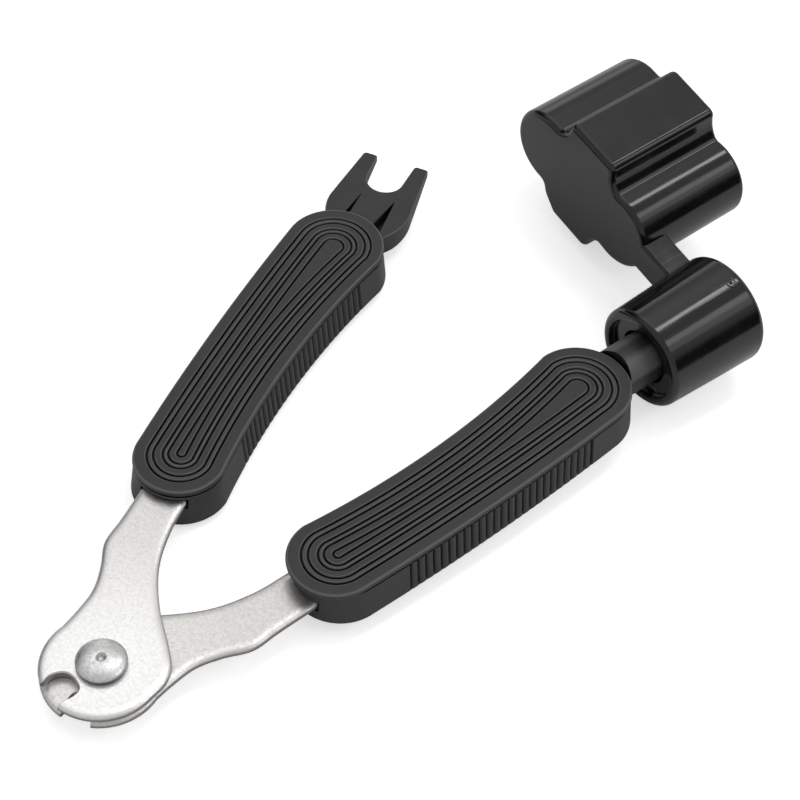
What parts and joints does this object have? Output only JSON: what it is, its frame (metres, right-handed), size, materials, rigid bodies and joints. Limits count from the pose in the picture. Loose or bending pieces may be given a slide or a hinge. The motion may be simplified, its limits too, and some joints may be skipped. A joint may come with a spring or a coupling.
{
  "type": "string winder",
  "caption": "Plier-style guitar tool: notched steel levers cut string, one grip ends in a bridge-pin fork, the other in a crank with a peg cap.",
  "frame": {"origin": "on the pivot axis, at the rivet's flat tail, which lies in one plane with the backs of both grips", "axes": "+Z along the pivot axis towards the rivet's domed head; +Y along the line that halves the angle between the levers, from the pivot towards the grips; the lever that carries the winder is on +X"},
  "size_m": [0.0913, 0.178, 0.034],
  "materials": {
    "stamped_steel": "bright satin stamped plate with a fine speckle",
    "rivet_steel": "plain grey steel, softly worn",
    "grip_plastic": "matt black with a fine moulded grain",
    "winder_plastic": "gloss black moulding",
    "bush_plastic": "plain dark nylon"
  },
  "bodies": {
    "left_handle": {"upper_lever": "stamped_steel", "pivot_rivet": "rivet_steel", "pivot_washer": "rivet_steel", "left_grip_body": "grip_plastic", "left_grip_front_cover": "grip_plastic", "left_grip_back_cover": "grip_plastic", "left_tang_pin_near": "rivet_steel", "left_tang_pin_far": "rivet_steel"},
    "right_handle": {"lower_lever": "stamped_steel", "right_grip_body": "grip_plastic", "right_grip_front_cover": "grip_plastic", "right_grip_back_cover": "grip_plastic", "right_tang_pin_near": "rivet_steel", "right_tang_pin_far": "rivet_steel", "spindle_washer": "rivet_steel", "spindle_screw": "rivet_steel"},
    "winder": {"winder_crank": "winder_plastic", "hub_bush": "bush_plastic"}
  },
  "joints": [
    {"name": "handle_pivot", "type": "hinge", "parent": "left_handle", "child": "right_handle", "pos_m": [0, 0, 0.00425], "axis": [0, 0, 1], "range_deg": [-32, 20]},
    {"name": "winder_spin", "type": "hinge", "parent": "right_handle", "child": "winder", "pos_m": [0.03486, 0.12315, 0.00508], "axis": [0.2695, 0.9619, 0.0454], "continuous": true}
  ]
}
